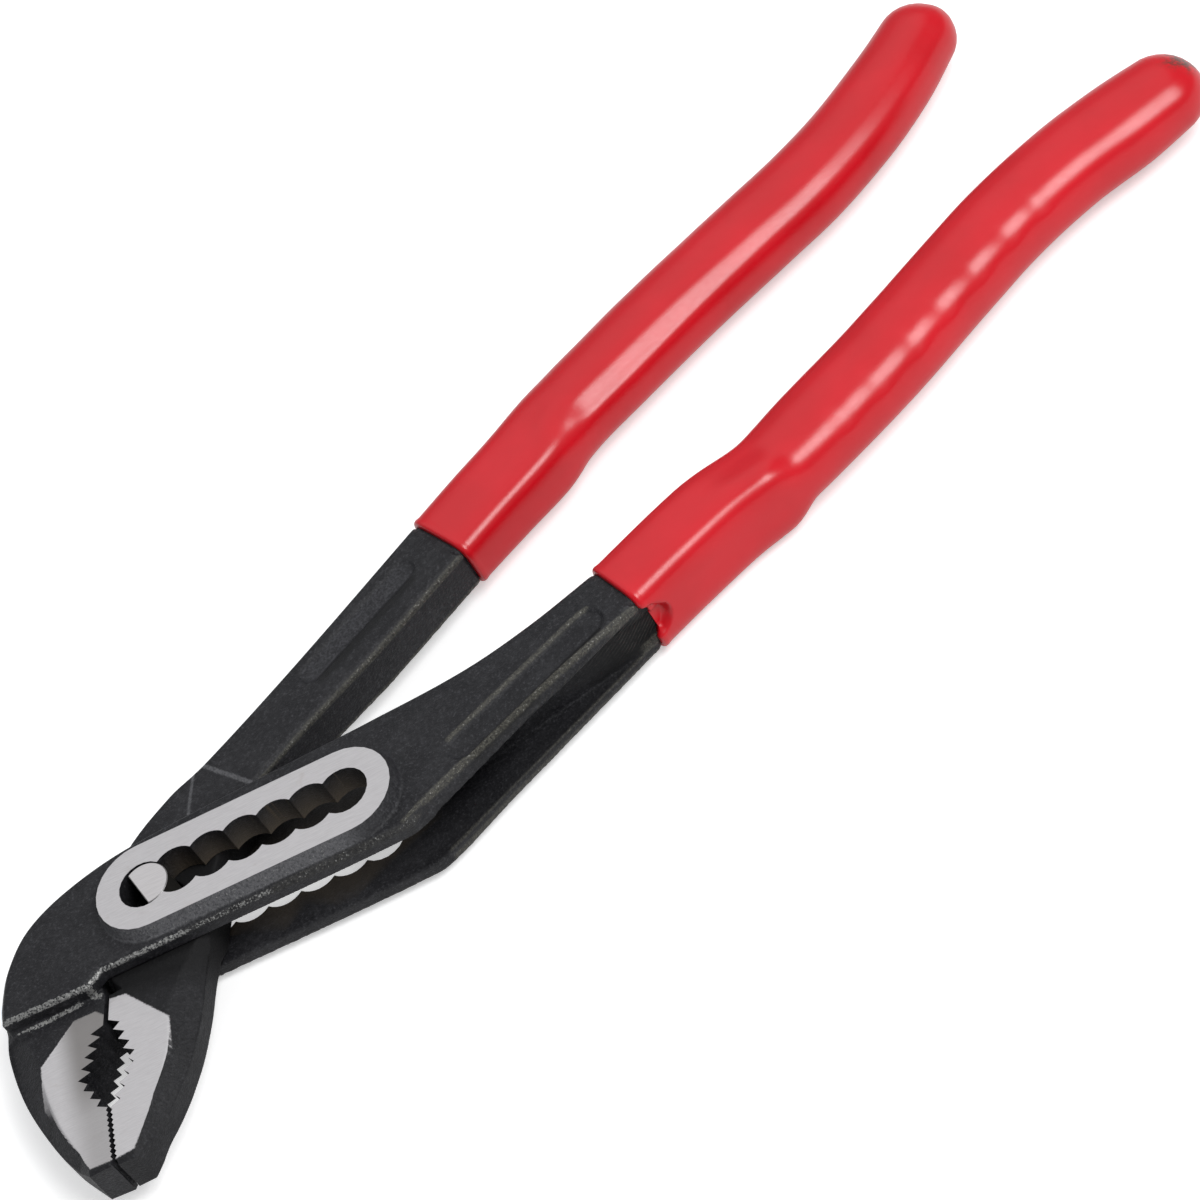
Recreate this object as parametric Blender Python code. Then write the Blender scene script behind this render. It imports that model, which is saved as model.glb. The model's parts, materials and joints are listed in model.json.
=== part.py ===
"""Water pump pliers with a box joint: two forged levers, a flatted pivot pin and two dipped grips.

The tool lies flat. Points below are in millimetres in the slot frame: U runs along the slot from its first
notch towards the handles, V across it, W up through the thickness, and W = 0 is the middle plane that both
levers share. Every object's own origin is on the pivot.
"""

import math

import bmesh
import bpy
from mathutils import Matrix, Vector

MM = 0.001

# Lobed slot and pin. The pin rests against one side of its notch, so the pivot is off the notch's centre
NOTCHES = 7
PITCH = 6.0
FIRST_NOTCH = (0.25, 0.0)
NOTCH_R = 4.35
PIVOT = (0.5, 0.0)
PIN_R = 4.05
PIN_FLAT = 1.4
PIN_FLAT_ANGLE = math.radians(200)
PIN_SINK = 0.05
PIN_EDGE = 0.15
ARC_STEPS = 14
LOBE_STEPS = 8

# Half thicknesses, measured from the middle plane
BOSS_H = 9.8
REAR_BOSS_H = 8.2
CHEEK_H = 7.2
CHANNEL_H = 4.2
FIXED_JAW_H = 4.2
TONGUE_H = 3.9
RAMP_H = 4.15
INNER_H = 4.4
OUTER_END_H = 6.4

# The outer handle's faces fold down along this line across the lever, and reach the grip after this run
FOLD_LOW = (47.6, -8.9)
FOLD_HIGH = (44.2, 14.4)
HANDLE_RUN = 40.0

# Boss round the slot: a stadium with drafted sides
BOSS_ENDS = ((0.0, 0.0), (36.24, 0.0))
BOSS_R = 8.3
BOSS_DRAFT = 1.0
BOSS_SINK = 0.3

# Edges. The backs of the jaws are bevelled: pairs of V and bevel width, how deep the bevel goes, the line
# that parts the fixed jaw's back from its bite (pairs of V and U), and where the moving jaw's back starts
EDGE = 0.8
MITRE = 0.5
FIXED_BEVEL = ((-45, 0.6), (-42, 2.2), (-35, 2.8), (-27, 4.2), (-20, 5.2), (-13, 3.8), (-9, 0.2))
MOVING_BEVEL = ((-45, 0.6), (-42, 1.8), (-37, 3.0), (-30, 3.4), (-22, 5.2), (-16, 4.2), (-10, 1.2))
JAW_DROP = 2.0
FIXED_BACK = ((-46, -18.5), (-8, -27))
MOVING_BACK = (-12, -10)

# Jaws: the flat bite between the jaws runs from its foot to the tips, and each V is cut into coarse teeth
BITE_FOOT = (-14.45, -34.3)
BITE_TIP = (-15.15, -45.1)
GAP = 0.3
FINE_TEETH = 11
FINE_DEPTH = 0.35
UPPER_LEAN = 0.73
LOWER_LEAN = 0.25
MIDDLE_LEAN = 0.5

# Grips
WALL = 0.9
POCKET_SHARP = 1.15
POCKET_SHORT = 0.15
TANG_LEAD = 2.5
SIDES = 28
RINGS = 26
AIM = 0.02
DOME_STEPS = 4
DOME_TURN = math.radians(83)

# Rolled lip at the mouth of a grip: place along the first row, and how far it is drawn in
LIP = ((0.0, 0.3), (0.03, -0.05), (0.08, -0.08))
LIP_END = 0.14

# Where the pivot sits in the part frame, and how the slot frame is turned there
TURN = math.radians(-33)
PIVOT_AT = (-86.12, 19.58)

# Sunk panels in the handles: start, end, radius and depth
OUTER_PANEL = ((56.2, 0.6), (81.6, 13.5), 2.8, 0.6)
INNER_PANEL = ((34.0, 32.2), (53.6, 44.2), 2.3, 0.4)

# How far a cutter reaches past the wall it cuts
CLEAR = 2.0


def clear_scene():
    for thing in list(bpy.data.objects):
        bpy.data.objects.remove(thing, do_unlink=True)


def collection(name):
    made = bpy.data.collections.new(name)
    bpy.context.scene.collection.children.link(made)
    return made


def material(name, colour, metallic, roughness):
    made = bpy.data.materials.new(name)
    made.use_nodes = True
    shader = made.node_tree.nodes["Principled BSDF"]
    shader.inputs["Base Color"].default_value = (*colour, 1.0)
    shader.inputs["Metallic"].default_value = metallic
    shader.inputs["Roughness"].default_value = roughness
    return made


def smooth(points, steps=6):
    """A closed outline: entries with a third item are corners, the rest are joined by a smooth curve."""
    count = len(points)
    path = []
    for i in range(count):
        here = Vector(points[i][:2])
        there = Vector(points[(i + 1) % count][:2])
        before = Vector(points[i - 1][:2])
        beyond = Vector(points[(i + 2) % count][:2])
        if len(points[i]) > 2 and len(points[(i + 1) % count]) > 2:
            path.append(here)
            continue
        span = (there - here).length
        out = (there - before) * (span / ((there - here).length + (here - before).length))
        into = (beyond - here) * (span / ((beyond - there).length + (there - here).length))
        if len(points[i]) > 2:
            out = there - here
        if len(points[(i + 1) % count]) > 2:
            into = there - here
        for k in range(steps):
            t = k / steps
            path.append(
                here * (2 * t**3 - 3 * t**2 + 1)
                + out * (t**3 - 2 * t**2 + t)
                + there * (-2 * t**3 + 3 * t**2)
                + into * (t**3 - t**2)
            )
    return path


def inset(outline, width):
    """The outline moved inwards by width(point)."""
    moved = []
    for i, point in enumerate(outline):
        back = (point - outline[i - 1]).normalized()
        on = (outline[(i + 1) % len(outline)] - point).normalized()
        along = (back + on).normalized()
        inward = Vector((-along.y, along.x))
        moved.append(point + inward * (width(point) / max(MITRE, along.dot(on))))
    return moved


def stack(name, rings, home, colour=None, fold=None):
    """A solid through rings of points that all have the same count, lowest ring first, each going round
    anticlockwise seen from above. The first and last rings are closed with a face, which may fold between
    two of its points."""
    mesh = bmesh.new()
    pivot = Vector((*PIVOT, 0))
    rows = [[mesh.verts.new((Vector(p) - pivot) * MM) for p in ring] for ring in rings]
    count = len(rows[0])
    for row in (list(reversed(rows[0])), rows[-1]):
        face = mesh.faces.new(row)
        if fold:
            ends = [row[i] if row is rows[-1] else row[count - 1 - i] for i in fold]
            bmesh.utils.face_split(face, *ends)
    for low, high in zip(rows, rows[1:]):
        for i in range(count):
            j = (i + 1) % count
            mesh.faces.new((low[i], low[j], high[j], high[i]))
    bmesh.ops.recalc_face_normals(mesh, faces=mesh.faces[:])
    data = bpy.data.meshes.new(name)
    mesh.to_mesh(data)
    mesh.free()
    made = bpy.data.objects.new(name, data)
    home.objects.link(made)
    if colour:
        data.materials.append(colour)
    else:
        made.hide_render = True
        made.display_type = "WIRE"
    return made


def level(outline, w):
    return [(p[0], p[1], w) for p in outline]


def prism(name, outline, low, high, home):
    return stack(name, [level(outline, low), level(outline, high)], home)


def cut(target, tool):
    boolean(target, tool, "DIFFERENCE")


def join(target, tool):
    boolean(target, tool, "UNION")


def boolean(target, tool, operation):
    made = target.modifiers.new(tool.name, "BOOLEAN")
    made.operation = operation
    made.solver = "EXACT"
    made.object = tool


def arc(centre, radius, start, end, steps=ARC_STEPS):
    return [
        Vector(
            (
                centre[0] + radius * math.cos(start + (end - start) * k / steps),
                centre[1] + radius * math.sin(start + (end - start) * k / steps),
            )
        )
        for k in range(steps + 1)
    ]


def stadium(start, end, radius, steps=ARC_STEPS):
    """The outline at this distance round the line from start to end."""
    along = math.atan2(end[1] - start[1], end[0] - start[0])
    right = along + math.pi / 2
    return arc(start, radius, right, right + math.pi, steps) + arc(
        end, radius, right - math.pi, right, steps
    )


def lobed_slot():
    """Seven overlapping circles as one outline, anticlockwise."""
    cusp = math.acos(PITCH / 2 / NOTCH_R)
    centres = [(FIRST_NOTCH[0] + i * PITCH, FIRST_NOTCH[1]) for i in range(NOTCHES)]
    outline = []
    for i, centre in enumerate(centres):
        start = math.pi if i == 0 else math.pi + cusp
        end = 2 * math.pi if i == NOTCHES - 1 else 2 * math.pi - cusp
        outline += arc(centre, NOTCH_R, start, end, LOBE_STEPS)[1 if i else 0 :]
    for i, centre in reversed(list(enumerate(centres))):
        start = 0 if i == NOTCHES - 1 else cusp
        end = math.pi if i == 0 else math.pi - cusp
        outline += arc(centre, NOTCH_R, start, end, LOBE_STEPS)[1 : (None if i else -1)]
    return outline


def teeth(start, end, count, depth, side, lean):
    """Points from start to end with count triangular teeth whose valleys lie depth to the given side.
    Each valley sits at the fraction lean of its tooth."""
    along = (Vector(end) - Vector(start)) / count
    away = Vector((-along.y, along.x)).normalized() * depth * side
    path = []
    for i in range(count):
        path.append(Vector(start) + along * i)
        path.append(Vector(start) + along * (i + lean) + away)
    return path


def jaw_face(side, root, upper, lower):
    """The biting profile of one jaw from its root down past the tip; side is -1 for the fixed jaw. Each half
    of the V is given as its start, its count of teeth and their depth."""
    clear = Vector((side * GAP / 2, 0))
    foot = Vector(BITE_FOOT) + clear
    tip = Vector(BITE_TIP) + clear
    profile = [Vector(root)]
    profile += teeth(upper[0], lower[0], upper[1], upper[2], side, UPPER_LEAN)
    profile += teeth(lower[0], foot, lower[1], lower[2], side, LOWER_LEAN)
    profile += teeth(foot, tip, FINE_TEETH, FINE_DEPTH, side, MIDDLE_LEAN)
    profile.append(tip + (tip - foot).normalized() * CLEAR)
    return profile


def ramp(pairs, x):
    """The value at x on straight lines through the pairs."""
    for (x0, y0), (x1, y1) in zip(pairs, pairs[1:]):
        if x <= x1:
            return y0 + (y1 - y0) * max(0.0, (x - x0) / (x1 - x0))
    return pairs[-1][1]


def plate(outline, height, width, drop):
    """Rings for a flat forging, the same above and below the middle plane: height, bevel width and bevel
    drop are functions of the point."""
    face = inset(outline, width)
    top = [(p.x, p.y, height(p)) for p in face]
    shoulder = [(p.x, p.y, height(p) - drop(p)) for p in outline]
    return [mirrored(top), mirrored(shoulder), shoulder, top]


def mirrored(ring):
    return [(u, v, -w) for u, v, w in ring]


def always(value):
    return lambda point: value


def between(rows, t):
    """Row values at t, from 0 to the last row, on a curve through the rows."""
    i = min(int(t), len(rows) - 2)
    f = t - i
    before = rows[max(i - 1, 0)]
    beyond = rows[min(i + 2, len(rows) - 1)]
    found = []
    for a, b, c, d in zip(before, rows[i], rows[i + 1], beyond):
        found.append(
            b
            + 0.5 * f * (c - a + f * (2 * a - 5 * b + 4 * c - d + f * (3 * (b - c) + d - a)))
        )
    return found


def direction(rows, start, end):
    run = Vector(between(rows, end)[:2]) - Vector(between(rows, start)[:2])
    return Vector((run.x, run.y, 0)).normalized()


def section(row, heading, shrink, sharpen):
    """One ring across a handle: a rounded rectangle that turns into an ellipse as its power falls to 2."""
    u, v, wide, thick, power = row
    power = power**sharpen
    across = Vector((math.sin(heading), -math.cos(heading)))
    ring = []
    for k in range(SIDES):
        turn = 2 * math.pi * k / SIDES
        x = abs(math.cos(turn)) ** (2 / power) * math.copysign(wide - shrink, math.cos(turn))
        w = abs(math.sin(turn)) ** (2 / power) * math.copysign(thick - shrink, math.sin(turn))
        ring.append((u + across.x * x, v + across.y * x, w))
    return ring


def along_handle(rows, first, last, count, shrink, sharpen=1.0):
    """Rings along a handle between two places counted in rows, shrunk and with sharper corners if asked."""
    rings = []
    for k in range(count + 1):
        t = first + (last - first) * k / max(1, count)
        run = direction(rows, max(t - AIM, 0), min(t + AIM, len(rows) - 1))
        rings.append(section(between(rows, t), math.atan2(run.y, run.x), shrink, sharpen))
    return rings


def rounded_end(ring, onward, reach):
    """Rings that close a handle with a dome, which is a little flat at its top."""
    middle = sum((Vector(p) for p in ring), Vector()) / len(ring)
    rings = []
    for k in range(1, DOME_STEPS + 1):
        turn = DOME_TURN * k / DOME_STEPS
        top = middle + onward * reach * math.sin(turn)
        rings.append([top + (Vector(p) - middle) * math.cos(turn) for p in ring])
    return rings


def grip(name, rows, home, colour):
    """A dipped sleeve: outer skin with a rolled lip and a domed end, and the pocket that the tang fills."""
    last = len(rows) - 1
    rings = list(reversed(along_handle(rows, 0.0, last - POCKET_SHORT, RINGS, WALL, POCKET_SHARP)))
    for at, shrink in LIP:
        rings += along_handle(rows, at, at, 0, shrink)
    skin = along_handle(rows, LIP_END, last, RINGS, 0)
    rings += skin + rounded_end(skin[-1], direction(rows, last - AIM, last), rows[-1][2])
    return stack(name, rings, home, colour)


def tang(name, rows, home):
    """The end of a lever inside its grip. It starts inside the handle, ahead of the grip's mouth."""
    end = len(rows) - 1 - 2 * POCKET_SHORT
    rings = along_handle(rows, 0.0, end, RINGS, WALL + GAP, POCKET_SHARP)
    lead = direction(rows, 0.0, AIM) * TANG_LEAD
    return stack(name, [[Vector(p) - lead for p in rings[0]]] + rings, home)


# Rows along each grip: U, V, half width, half thickness, power of the section
OUTER_GRIP = (
    (87.2, 18.3, 7.0, 7.6, 5.2),
    (97.0, 23.2, 7.0, 7.6, 5.0),
    (107.0, 27.8, 7.1, 7.4, 4.0),
    (116.5, 31.5, 7.6, 6.5, 2.6),
    (126.0, 36.5, 8.2, 6.4, 2.4),
    (140.0, 44.1, 8.2, 6.4, 2.4),
    (154.0, 52.7, 8.1, 6.4, 2.4),
    (168.0, 61.1, 8.1, 6.4, 2.4),
    (181.0, 66.8, 8.1, 6.4, 2.4),
    (192.0, 70.0, 8.2, 6.4, 2.4),
    (199.8, 72.3, 7.7, 6.0, 2.3),
)
INNER_GRIP = (
    (60.9, 47.7, 7.4, 5.5, 5.0),
    (70.0, 53.4, 7.5, 5.7, 4.8),
    (79.5, 59.1, 7.6, 5.9, 3.8),
    (88.0, 65.2, 7.8, 5.9, 2.6),
    (98.0, 70.7, 8.0, 6.3, 2.4),
    (112.0, 77.9, 8.0, 6.3, 2.4),
    (126.0, 84.4, 8.0, 6.3, 2.4),
    (139.0, 90.4, 8.0, 6.2, 2.4),
    (150.0, 97.1, 7.8, 6.1, 2.4),
    (159.6, 104.8, 7.5, 6.0, 2.4),
    (167.0, 112.1, 7.1, 5.7, 2.3),
)


def outer_height(point):
    """Half thickness of the outer lever: level as far as the fold, then falling towards the grip."""
    along = Vector(FOLD_HIGH) - Vector(FOLD_LOW)
    past = Vector((along.y, -along.x)).normalized().dot(point - Vector(FOLD_LOW))
    return CHEEK_H - max(0.0, past) * (CHEEK_H - OUTER_END_H) / HANDLE_RUN


def outer_lever(parts, cutters, steel):
    outline = smooth(
        (
            (-29.1, -12.0, 1),
            (-13.6, -12.4, 1),
            (-10.6, -10.4, 1),
            (2.0, -10.4, 1),
            (43.5, -10.2),
            FOLD_LOW,
            (58.3, -3.1, 1),
            (89.6, 12.8, 1),
            (84.4, 23.3, 1),
            (72.1, 18.9),
            (59.9, 15.9),
            FOLD_HIGH,
            (22.0, 13.4),
            (-2.8, 11.8),
            (-14.3, 9.0),
            (-22.3, 4.6),
            (-26.8, -1.8),
            (-28.8, -8.6),
        )
    )
    rings = plate(outline, outer_height, always(EDGE), always(EDGE))
    fold = [outline.index(Vector(p)) for p in (FOLD_LOW, FOLD_HIGH)]
    lever = stack("outer_lever", rings, parts, steel, fold)

    # Raised boss on both cheeks, lower on the rear one
    foot = stadium(*BOSS_ENDS, BOSS_R + BOSS_DRAFT)
    face = stadium(*BOSS_ENDS, BOSS_R)
    sunk = CHEEK_H - BOSS_SINK
    rings = [level(face, -REAR_BOSS_H), level(foot, -sunk), level(foot, sunk), level(face, BOSS_H)]
    join(lever, stack("boss", rings, cutters))

    # Fixed jaw, thinner than the head, bevelled towards its back
    jaw = smooth(
        (
            (-11.0, -8.0, 1),
            (-28.2, -5.0, 1),
            (-30.5, -12.0),
            (-30.4, -18.0),
            (-28.9, -26.0),
            (-25.8, -34.8),
            (-22.8, -41.0),
            (-19.7, BITE_TIP[1], 1),
            (BITE_TIP[0] + 2, BITE_TIP[1], 1),
            (-11.0, -20.0, 1),
        )
    )

    def bevel(point):
        on_back = point.x < ramp(FIXED_BACK, point.y)
        return ramp(FIXED_BEVEL, point.y) if on_back else EDGE / 4

    def drop(point):
        return min(JAW_DROP, bevel(point))

    join(lever, stack("fixed_jaw", plate(jaw, always(FIXED_JAW_H), bevel, drop), cutters))
    join(lever, tang("outer_tang", OUTER_GRIP, cutters))

    # Channel for the tongue; its far end runs out along the handle as a groove
    channel = (
        (-22.0, 24.0),
        (-11.7, -13.0),
        (-11.7, -24.0),
        (100.0, -24.0),
        (100.0, 15.2),
        (49.6, 3.2),
        (47.8, 4.6),
        (66.0, 24.0),
    )
    cut(lever, prism("channel", channel, -CHANNEL_H, CHANNEL_H, cutters))
    cut(lever, prism("lobed_slot", lobed_slot(), -BOSS_H - CLEAR, BOSS_H + CLEAR, cutters))

    bite = jaw_face(-1, (-11.7, -12.6), ((-13.0, -18.6), 5, 1.9), ((-17.3, -28.3), 3, 1.2))
    bite += [Vector((10, bite[-1].y)), Vector((10, bite[0].y))]
    cut(lever, prism("fixed_bite", bite, -FIXED_JAW_H - CLEAR, FIXED_JAW_H + CLEAR, cutters))

    panels(lever, "outer_panel", OUTER_PANEL, outer_height, cutters)
    return lever


def panels(lever, name, panel, height, cutters):
    """A shallow sunk panel with sloping walls in the upper and lower face of a handle."""
    start, end, radius, depth = panel
    floor = stadium(start, end, radius - depth)
    mouth = stadium(start, end, radius + depth)
    low = [(p.x, p.y, height(p) - depth) for p in floor]
    high = [(p.x, p.y, height(p) + depth) for p in mouth]
    cut(lever, stack(f"{name}_top", [low, high], cutters))
    cut(lever, stack(f"{name}_under", [mirrored(high), mirrored(low)], cutters))


def inner_lever(parts, cutters, steel):
    outline = smooth(
        (
            (BITE_TIP[0] - 2, BITE_TIP[1], 1),
            (-11.6, BITE_TIP[1], 1),
            (-9.5, -43.2),
            (-5.0, -38.0),
            (-0.3, -30.5),
            (2.9, -22.7),
            (4.6, -17.0),
            (6.4, -11.5),
            (9.0, -3.0),
            (12.5, 6.0),
            (19.0, 14.0),
            (31.0, 21.8),
            (45.2, 29.9, 1),
            (64.1, 42.1, 1),
            (57.3, 53.0, 1),
            (31.0, 35.6),
            (12.2, 24.1),
            (5.1, 20.8),
            (-3.8, 14.0),
            (-8.4, 6.5),
            (-10.4, -2.0),
            (-10.8, -11.6, 1),
            (-15.5, -13.4, 1),
            (-16.5, -18.0, 1),
        )
    )

    # The jaw's bevel starts above the face that the milling leaves, so it is drawn wider and deeper here
    spare = INNER_H - TONGUE_H

    def on_back(point):
        return point.x > MOVING_BACK[0] and point.y < MOVING_BACK[1]

    def drop(point):
        return min(JAW_DROP, ramp(MOVING_BEVEL, point.y)) + spare if on_back(point) else EDGE

    def width(point):
        milled = drop(point) - spare
        return ramp(MOVING_BEVEL, point.y) * drop(point) / milled if on_back(point) else EDGE

    lever = stack("inner_lever", plate(outline, always(INNER_H), width, drop), parts, steel)
    join(lever, tang("inner_tang", INNER_GRIP, cutters))

    # The tongue and the jaw are milled thinner than the handle, in two passes that meet in a V
    for name, far, corner, half in (
        ("ramp", (40.0, 20.5), (19.7, 15.4), RAMP_H),
        ("tongue", (40.0, 15.4), (8.0, 15.4), TONGUE_H),
    ):
        area = ((-40, -60), (40, -60), far, corner, (10.8, 25.0), (-40, 40))
        cut(lever, prism(f"{name}_top", area, half, INNER_H + CLEAR, cutters))
        cut(lever, prism(f"{name}_under", area, -INNER_H - CLEAR, -half, cutters))

    hole = arc(PIVOT, PIN_R + GAP, 0, 2 * math.pi, ARC_STEPS * 3)[:-1]
    cut(lever, prism("pin_hole", hole, -TONGUE_H - CLEAR, TONGUE_H + CLEAR, cutters))

    bite = jaw_face(1, (-10.75, -11.2), ((-12.1, -17.8), 4, 1.5), ((-9.9, -26.6), 4, 1.3))
    bite += [Vector((-30, bite[-1].y)), Vector((-30, bite[0].y))]
    cut(lever, prism("moving_bite", bite, -INNER_H - CLEAR, INNER_H + CLEAR, cutters))

    panels(lever, "inner_panel", INNER_PANEL, always(INNER_H), cutters)
    return lever


def pivot_pin(parts, steel):
    """A round pin with one flat: narrow enough across the flat to pass the waists of the slot."""
    half = math.acos(PIN_FLAT / PIN_R)
    start = PIN_FLAT_ANGLE + half
    outline = arc(PIVOT, PIN_R, start, start + 2 * (math.pi - half), ARC_STEPS * 3)
    face = inset(outline, always(PIN_EDGE))
    low = PIN_SINK - REAR_BOSS_H
    high = BOSS_H - PIN_SINK
    rings = [level(face, low), level(outline, low + PIN_EDGE)]
    rings += [level(outline, high - PIN_EDGE), level(face, high)]
    return stack("pivot_pin", rings, parts, steel)


clear_scene()
tool = collection("water_pump_pliers")
helpers = collection("cutters")
helpers.hide_render = True

black_steel = material("black_steel", (0.03, 0.03, 0.033), 0.6, 0.5)
inner_steel = material("inner_black_steel", (0.03, 0.03, 0.033), 0.6, 0.5)
bright_steel = material("bright_steel", (0.55, 0.54, 0.54), 1.0, 0.35)
outer_red = material("outer_red_vinyl", (0.55, 0.02, 0.03), 0.0, 0.25)
inner_red = material("inner_red_vinyl", (0.55, 0.02, 0.03), 0.0, 0.25)

outer_lever(tool, helpers, black_steel)
inner_lever(tool, helpers, inner_steel)
pivot_pin(tool, bright_steel)
grip("outer_grip", OUTER_GRIP, tool, outer_red)
grip("inner_grip", INNER_GRIP, tool, inner_red)

# The slot frame is turned so that the tool's length runs along X, and lies on its rear boss
seat = Matrix.Translation(Vector((*PIVOT_AT, REAR_BOSS_H)) * MM) @ Matrix.Rotation(TURN, 4, "Z")
for thing in list(tool.objects) + list(helpers.objects):
    thing.matrix_world = seat
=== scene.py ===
import json
import math

import bmesh
import bpy
import numpy as np
from mathutils import Matrix, Vector


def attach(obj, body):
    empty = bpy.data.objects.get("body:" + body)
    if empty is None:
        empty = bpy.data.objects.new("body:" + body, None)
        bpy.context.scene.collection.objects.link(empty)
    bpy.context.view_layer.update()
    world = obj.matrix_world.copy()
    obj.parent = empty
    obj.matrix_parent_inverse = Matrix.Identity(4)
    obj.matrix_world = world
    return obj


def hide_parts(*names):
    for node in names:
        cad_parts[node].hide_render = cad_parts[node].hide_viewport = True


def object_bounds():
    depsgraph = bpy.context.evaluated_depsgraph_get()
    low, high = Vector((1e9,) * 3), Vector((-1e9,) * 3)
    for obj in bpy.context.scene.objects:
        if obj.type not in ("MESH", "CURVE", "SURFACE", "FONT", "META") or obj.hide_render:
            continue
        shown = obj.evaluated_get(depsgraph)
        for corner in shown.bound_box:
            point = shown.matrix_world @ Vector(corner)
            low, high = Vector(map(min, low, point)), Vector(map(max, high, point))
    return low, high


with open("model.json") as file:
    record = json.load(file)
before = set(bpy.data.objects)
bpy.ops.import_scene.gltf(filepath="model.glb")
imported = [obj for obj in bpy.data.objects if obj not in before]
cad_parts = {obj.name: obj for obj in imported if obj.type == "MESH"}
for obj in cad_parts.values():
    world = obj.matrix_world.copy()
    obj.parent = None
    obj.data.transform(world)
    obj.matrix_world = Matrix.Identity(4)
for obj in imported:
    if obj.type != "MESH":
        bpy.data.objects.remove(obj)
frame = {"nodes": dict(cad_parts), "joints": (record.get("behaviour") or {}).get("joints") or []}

MM = 0.001
cad_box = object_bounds()
joints = {joint["name"]: joint for joint in frame["joints"]}

# Slot frame, in millimetres: U along the slot, V across it, W up from the middle plane. Its origin
# is a little to one side of the pivot
PIVOT = np.array(joints["jaw_pivot"]["pos_m"])
ALONG = np.array(joints["slot_slide"]["axis"]) / np.linalg.norm(joints["slot_slide"]["axis"])
UP = np.array((0.0, 0.0, 1.0))
ACROSS = np.cross(UP, ALONG)
PIVOT_U = 0.5
TRAVEL = joints["slot_slide"]["range_m"][1] / MM

# A pair of numbers below is where a change starts and ends, unless it is a point in U and V. Two
# more numbers after it are what is changed from and to

# Heights above the middle plane
BOSS_H = 9.8
REAR_BOSS_H = 8.2
CHEEK_H = 7.2
JAW_H = 4.6

# Ground flats on the jaws: corners of the bare area, anticlockwise. Outside them the sides of the
# jaws fall away, by the fall and over about the run
FIXED_FLAT = (
    (-12.0, -17.2), (-13.8, -15.3), (-17.7, -15.2), (-24.6, -21.2),
    (-25.4, -29.3), (-19.2, -44.2), (-10.0, -44.6),
)
MOVING_FLAT = (
    (-18.0, -44.5), (-11.3, -43.8), (-9.4, -40.5), (-2.6, -29.7),
    (-1.9, -22.3), (-8.4, -14.3), (-13.2, -13.6),
)
FLAT_FALL = 0.45
FLAT_RUN = 4.5
FIXED_JAW = (12.6, 13.0)
MOVING_JAW = (11.0, 13.0)
JAW_BLEND = 0.2
FACING_UP = (0.5, 0.9)

# What stays crisp: the bosses by height, the bites of the jaws by -V and by U or -U, and the slot
BOSS_CRISP = (7.4, 7.7)
FIXED_BITE = ((14.0, 15.0), (-23.0, -20.0))
MOVING_BITE = ((12.0, 13.0), (1.0, 3.0))
SLOT_HALF = 4.9
SLOT_BLEND = 0.4
SLOT_START = (-6.0, -5.0)
SLOT_END = 42.5

# The outer handle's lower edge: where it starts and ends, and along it the drafted wall between the
# front face and the milled groove: place along the edge and how far in the wall starts. The cutters
# reach out past it
EDGE_START = np.array((47.6, -8.9))
EDGE_END = np.array((89.6, 12.8))
EDGE_RUN = (EDGE_END - EDGE_START) / np.linalg.norm(EDGE_END - EDGE_START)
EDGE_OUT = np.array((EDGE_RUN[1], -EDGE_RUN[0]))
DRAFT = ((-5.0, 0.0), (2.0, 2.0), (24.0, 2.0), (47.5, 0.0))
DRAFT_SLOPE = 1.75
DRAFT_LIFT = 0.02
HANDLE_FALL = 0.8
HANDLE_RUN = 40.0
GROOVE_H = 2.6
GROOVE_DEPTH = 1.1
GROOVE_END = 52.0
CUT_REACH = 3.0

# The side of the outer handle darkened by painted shade, and the milled part of it: by place along
# the edge, by distance outside it and by height. The milling lines: their pitch, their turn and how
# much they waver
SIDE_PLACE = (-12.0, 2.0)
SIDE_OUT = (-3.5, -2.5)
SIDE_H = (2.6, 5.2)
MILLED_PLACE = (10.0, 30.0)
MILLED_OUT = (-2.6, -1.8)
MILLED_LOW = (-2.5, -2.1)
MILLED_TOP = (4.5, 5.5)
MILLING = 0.66
MILLING_TURN = math.radians(28)
MILLING_WAVER = 4.0

# Edges left rough by the forging: a path, how far it reaches to each side, the heights between
# which it is found, the sides of the middle plane that have it, how bare it is and how dusty
BOTH = (1, -1)
FRONT = (1,)
REAR = (-1,)
OUTER_WEAR = (
    (((-29.1, -11.9), (-13.6, -12.2)), 0.7, 6.2, 7.6, BOTH, 0.66, 0.0),
    (((-28.5, -12.9), (-16.0, -12.75)), 0.6, 3.9, 4.8, BOTH, 0.66, 0.0),
    (((-13.7, -12.3), (-12.2, -12.9)), 0.9, 4.2, 7.4, BOTH, 0.66, 0.0),
    (((-13.6, -12.3), (-10.6, -10.3), (4.0, -10.3)), 0.7, 6.2, 7.6, BOTH, 0.62, 0.0),
    (((4.0, -10.3), (20.0, -10.2)), 0.6, 6.4, 7.6, BOTH, 0.5, 0.2),
    (((20.0, -10.2), (43.5, -10.1), (47.6, -8.8)), 0.8, 6.2, 7.6, BOTH, 0.3, 0.3),
    (((44.0, -9.0), (48.5, -6.4), (69.0, 4.1), EDGE_END), 0.55, 4.6, 7.6, FRONT, 0.3, 1.0),
    ((EDGE_START, EDGE_END), 0.8, 5.3, 7.6, REAR, 0.25, 0.9),
    ((EDGE_START, EDGE_END), 0.8, 2.6, 4.2, REAR, 0.25, 0.8),
    (((54.3, 2.8), (54.9, 3.2), (80.3, 16.0), (82.0, 16.4)), 0.5, 5.0, 7.6, BOTH, 0.3, 1.0),
)
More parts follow.
